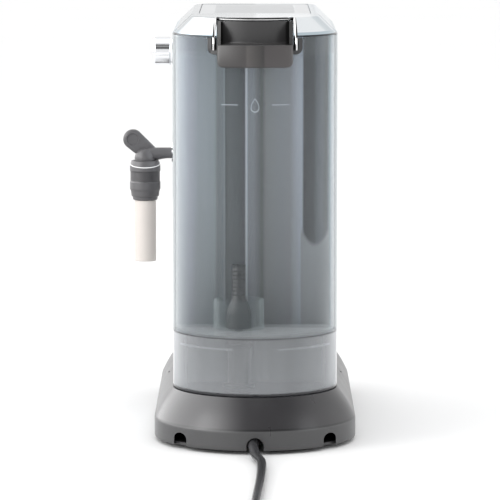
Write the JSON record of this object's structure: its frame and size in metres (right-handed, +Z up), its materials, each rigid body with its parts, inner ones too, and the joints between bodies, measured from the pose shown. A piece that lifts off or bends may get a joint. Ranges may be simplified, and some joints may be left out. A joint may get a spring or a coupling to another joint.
{
  "type": "espresso machine",
  "caption": "Slim upright pump coffee machine with a clear lift-off rear water tank, side steam wand, filter holder and drip tray.",
  "frame": {"origin": "on the floor, under the middle of the machine measured without its cord and plug", "axes": "+Z up, front towards -Y, the water tank and cord towards +Y, the steam wand on the +X side"},
  "size_m": [0.1754, 0.7803, 0.3095],
  "materials": {
    "dark_plastic": "satin moulded plastic",
    "clear_plastic": "clear smoke-grey moulded plastic, gloss",
    "steel": "bright steel",
    "polished": "polished",
    "body_metal": "satin metal skin",
    "rubber": "matte",
    "cord_rubber": "satin cable sheath",
    "red_plastic": "gloss",
    "brass": "machined",
    "aluminium": "cast",
    "board": "circuit board",
    "hose": "translucent hose"
  },
  "bodies": {
    "machine": {"base_housing": "dark_plastic", "base_plate": "dark_plastic", "foot_rear_left": "rubber", "foot_front_left": "rubber", "foot_rear_right": "rubber", "foot_front_right": "rubber", "column_shell": "body_metal", "head_shell": "body_metal", "head_floor": "dark_plastic", "rear_wall": "body_metal", "top_frame": "body_metal", "cup_tray": "steel", "group_head": "steel", "group_gasket": "rubber", "shower_screen": "steel", "shower_screw": "steel", "steam_valve": "brass", "wand_bush": "polished", "switch_board": "board", "pump": "aluminium", "pump_mount_lower": "rubber", "pump_mount_upper": "rubber", "pump_bracket": "body_metal", "inlet_spigot": "dark_plastic", "inlet_seal": "rubber", "inlet_hose": "hose", "boiler": "aluminium", "pressure_hose": "hose", "temperature_sensor": "brass", "steam_hose": "hose", "wand_feed_pipe": "steel", "control_board": "board", "cord_gland": "rubber", "power_cord": "cord_rubber", "cord_coil": "cord_rubber", "cord_tail": "cord_rubber", "plug": "rubber"},
    "tank": {"water_tank": "clear_plastic", "tank_handle": "dark_plastic", "valve_collar": "clear_plastic", "suction_filter": "dark_plastic"},
    "lid": {"tank_lid": "polished", "handle_trim": "polished"},
    "valve_poppet": {"valve_poppet": "rubber"},
    "drip_tray": {"drip_tray": "dark_plastic"},
    "drip_grid": {"drip_grid": "steel"},
    "tray_float": {"tray_float": "red_plastic"},
    "portafilter": {"portafilter_body": "polished", "filter_basket": "steel", "portafilter_spout": "dark_plastic", "portafilter_grip": "dark_plastic"},
    "steam_knob": {"steam_knob": "polished", "steam_stem": "steel"},
    "wand": {"wand_elbow": "dark_plastic", "steam_nozzle": "steel"},
    "frother_collar": {"frother_collar": "dark_plastic"},
    "frother_sleeve": {"frother_sleeve": "polished"},
    "button_one_cup": {"button_one_cup": "polished"},
    "button_steam": {"button_steam": "polished"},
    "button_two_cups": {"button_two_cups": "polished"}
  },
  "joints": [
    {"name": "tank_lift", "type": "slide", "parent": "machine", "child": "tank", "axis": [0, 0, 1], "range_m": [0, 0.28]},
    {"name": "lid_hinge", "type": "hinge", "parent": "tank", "child": "lid", "pos_m": [-0.0142, 0.0993, 0.3095], "axis": [1, 0, 0], "range_deg": [0, 100]},
    {"name": "poppet_lift", "type": "slide", "parent": "tank", "child": "valve_poppet", "axis": [0, 0, 1], "range_m": [0, 0.003], "stiffness_N_per_m": 200},
    {"name": "tray_pull", "type": "slide", "parent": "machine", "child": "drip_tray", "axis": [0, -1, 0], "range_m": [0, 0.16]},
    {"name": "grid_lift", "type": "slide", "parent": "drip_tray", "child": "drip_grid", "axis": [0, 0, 1], "range_m": [0, 0.05]},
    {"name": "float_rise", "type": "slide", "parent": "drip_tray", "child": "tray_float", "axis": [0, 0, 1], "range_m": [0, 0.008]},
    {"name": "portafilter_turn", "type": "hinge", "parent": "machine", "child": "portafilter", "pos_m": [-0.0142, -0.0411, 0.168], "axis": [0, 0, 1], "range_deg": [-45, 0]},
    {"name": "knob_turn", "type": "hinge", "parent": "machine", "child": "steam_knob", "pos_m": [0.0458, -0.0511, 0.2738], "axis": [1, 0, 0], "range_deg": [0, 100]},
    {"name": "wand_swing", "type": "hinge", "parent": "machine", "child": "wand", "pos_m": [0.0458, -0.0511, 0.1952], "axis": [1, 0, 0], "range_deg": [-60, 30]},
    {"name": "frother_turn", "type": "hinge", "parent": "wand", "child": "frother_collar", "pos_m": [0.0708, -0.0511, 0.18], "axis": [0, 0, 1], "range_deg": [0, 60]},
    {"name": "sleeve_pull", "type": "slide", "parent": "frother_collar", "child": "frother_sleeve", "axis": [0, 0, -1], "range_m": [0, 0.05]},
    {"name": "press_one_cup", "type": "slide", "parent": "machine", "child": "button_one_cup", "axis": [0, 1, 0], "range_m": [0, 0.0015], "stiffness_N_per_m": 400},
    {"name": "press_steam", "type": "slide", "parent": "machine", "child": "button_steam", "axis": [0, 1, 0], "range_m": [0, 0.0015], "stiffness_N_per_m": 400},
    {"name": "press_two_cups", "type": "slide", "parent": "machine", "child": "button_two_cups", "axis": [0, 1, 0], "range_m": [0, 0.0015], "stiffness_N_per_m": 400}
  ]
}
